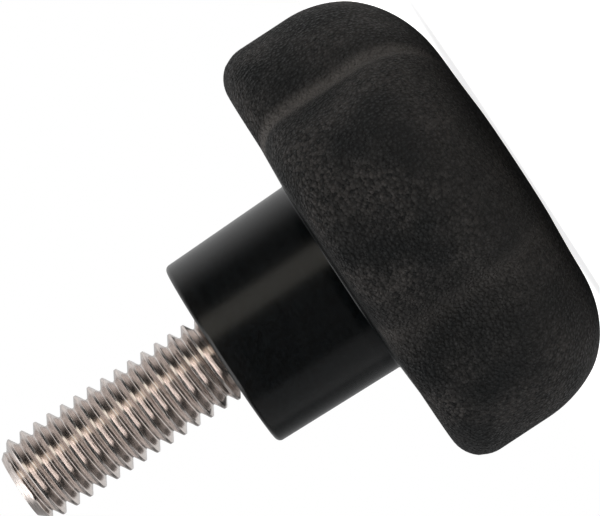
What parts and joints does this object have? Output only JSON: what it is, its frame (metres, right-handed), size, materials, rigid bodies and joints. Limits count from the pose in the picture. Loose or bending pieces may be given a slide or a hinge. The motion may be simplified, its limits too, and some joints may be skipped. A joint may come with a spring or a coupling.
{
  "type": "star knob",
  "caption": "Lobed star knob: a grained black plastic head on a slim round boss, with a threaded steel stud moulded in for clamping by hand.",
  "frame": {"origin": "middle of the boss's seat face, on the axis where the stud leaves the boss", "axes": "+Z along the stud, out of the boss towards the tip; the head stands on its crown below; one lobe points to -Y"},
  "size_m": [0.03, 0.0294, 0.0369],
  "materials": {
    "knob_plastic": "fine grain on the head, smooth satin on the boss",
    "stud_steel": "plain rolled stainless thread"
  },
  "bodies": {
    "root": {"knob_body": "knob_plastic", "threaded_stud": "stud_steel"}
  },
  "joints": []
}
